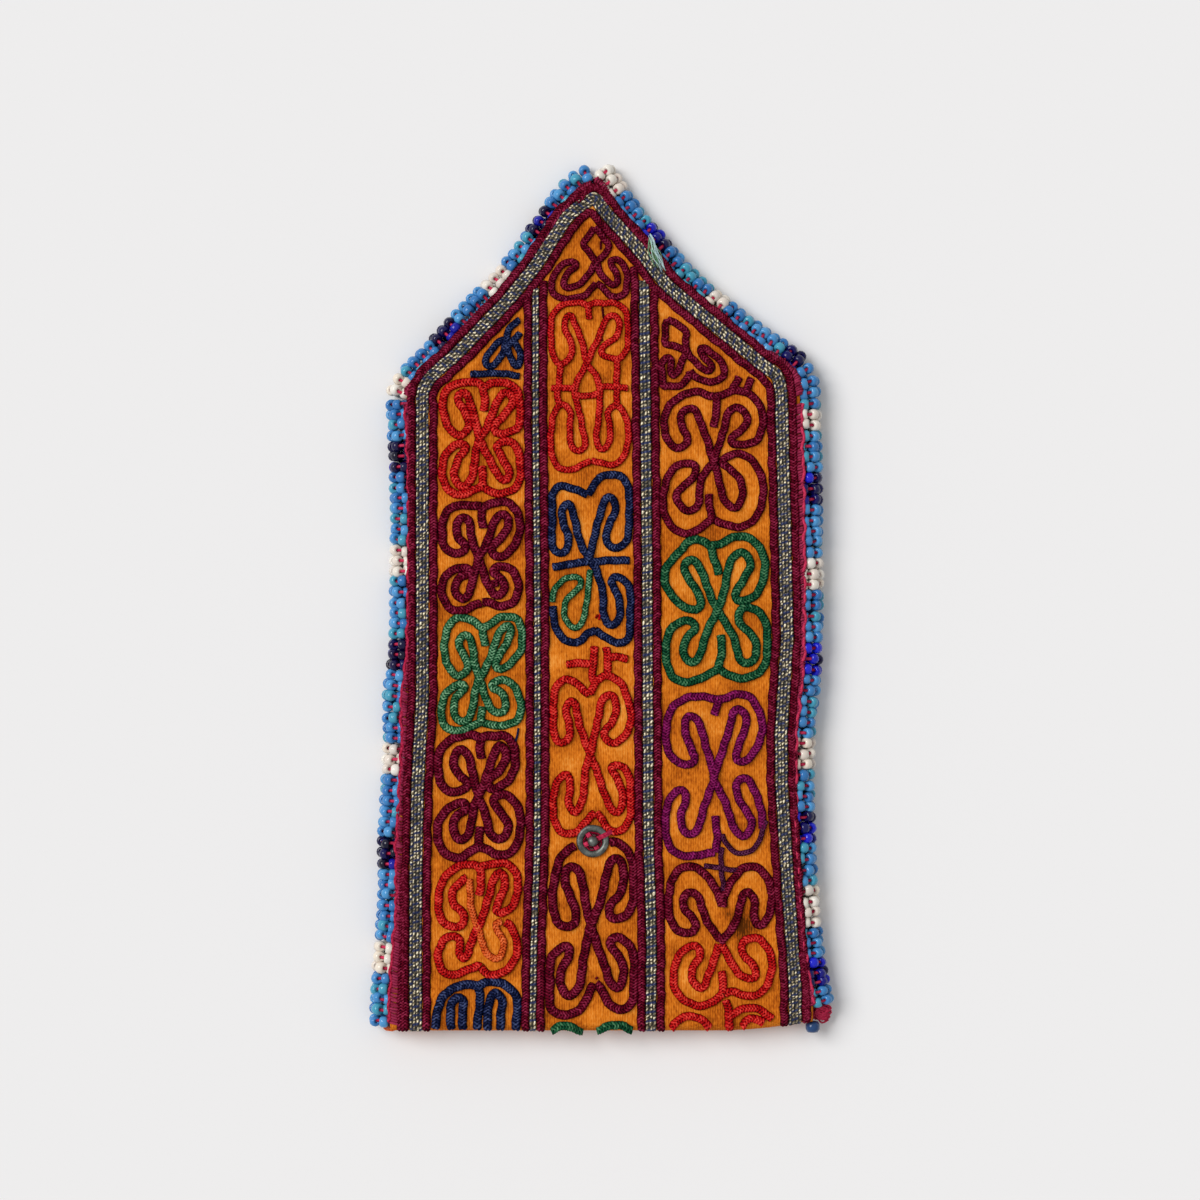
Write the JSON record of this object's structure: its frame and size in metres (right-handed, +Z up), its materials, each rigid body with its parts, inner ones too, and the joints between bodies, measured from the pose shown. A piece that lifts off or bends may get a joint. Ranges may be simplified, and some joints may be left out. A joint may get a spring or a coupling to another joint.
{
  "type": "wallet",
  "caption": "Folding textile wallet laid open: a long flat pouch with a pointed flap, chain-stitched motifs, metal-thread bands, a seed-bead edging and a sewn press stud.",
  "frame": {"origin": "the middle of the opened wallet in X and Y, at the height of the surface it lies on", "axes": "+Z up out of the embroidered face, +Y along the wallet towards the tip of its flap, +X across it to the right"},
  "size_m": [0.0969, 0.1806, 0.0089],
  "materials": {
    "cover_cloth": "woven cotton",
    "lining_cloth": "woven cotton",
    "back_cloth": "woven cotton",
    "maroon_thread": "chain-stitched cotton thread",
    "red_thread": "chain-stitched cotton thread",
    "orange_red_thread": "chain-stitched cotton thread",
    "green_thread": "chain-stitched cotton thread",
    "navy_thread": "chain-stitched cotton thread",
    "purple_thread": "chain-stitched cotton thread",
    "plum_thread": "chain-stitched cotton thread",
    "crimson_thread": "chain-stitched cotton thread",
    "pale_green_thread": "chain-stitched cotton thread",
    "gilt_thread": "metal-wrapped thread with navy thread",
    "glass_beads": "glossy glass seed beads, opaque turquoise, white and dark blue",
    "steel": "dull nickel-plated steel"
  },
  "bodies": {
    "root": {"cover_cloth": "cover_cloth", "lining_cloth": "lining_cloth", "back_cloth": "back_cloth", "bead_edging_left": "glass_beads", "bead_edging_right": "glass_beads", "bead_edging_flap_left": "glass_beads", "bead_edging_flap_right": "glass_beads", "metal_band_outer": "gilt_thread", "metal_band_left": "gilt_thread", "metal_band_right": "gilt_thread", "maroon_border_outer": "maroon_thread", "maroon_border_inner": "maroon_thread", "maroon_line_1": "maroon_thread", "maroon_line_2": "maroon_thread", "maroon_line_3": "maroon_thread", "maroon_line_4": "maroon_thread", "left_motif_1": "navy_thread", "left_motif_1_bar": "navy_thread", "left_motif_2": "red_thread", "left_motif_3": "maroon_thread", "left_motif_4": "green_thread", "left_motif_5": "maroon_thread", "left_motif_6": "red_thread", "left_motif_6_orange_upper": "orange_red_thread", "left_motif_6_orange_lower": "orange_red_thread", "left_motif_7": "navy_thread", "middle_motif_1": "maroon_thread", "middle_motif_2": "red_thread", "middle_motif_3": "navy_thread", "middle_motif_3_green": "green_thread", "middle_motif_4": "red_thread", "middle_motif_5": "maroon_thread", "middle_motif_6_left": "green_thread", "middle_motif_6_right": "green_thread", "right_motif_1": "maroon_thread", "right_motif_2": "maroon_thread", "right_motif_3": "green_thread", "right_motif_4": "purple_thread", "right_motif_4_plum": "plum_thread", "right_motif_5": "maroon_thread", "right_motif_5_red": "red_thread", "right_motif_6_left": "red_thread", "right_motif_6_right": "red_thread", "press_stud_ball_half": "steel", "press_stud_thread": "crimson_thread", "press_stud_socket_half": "steel", "socket_thread": "crimson_thread", "thread_tuft": "pale_green_thread", "corner_knot": "crimson_thread"}
  },
  "joints": []
}
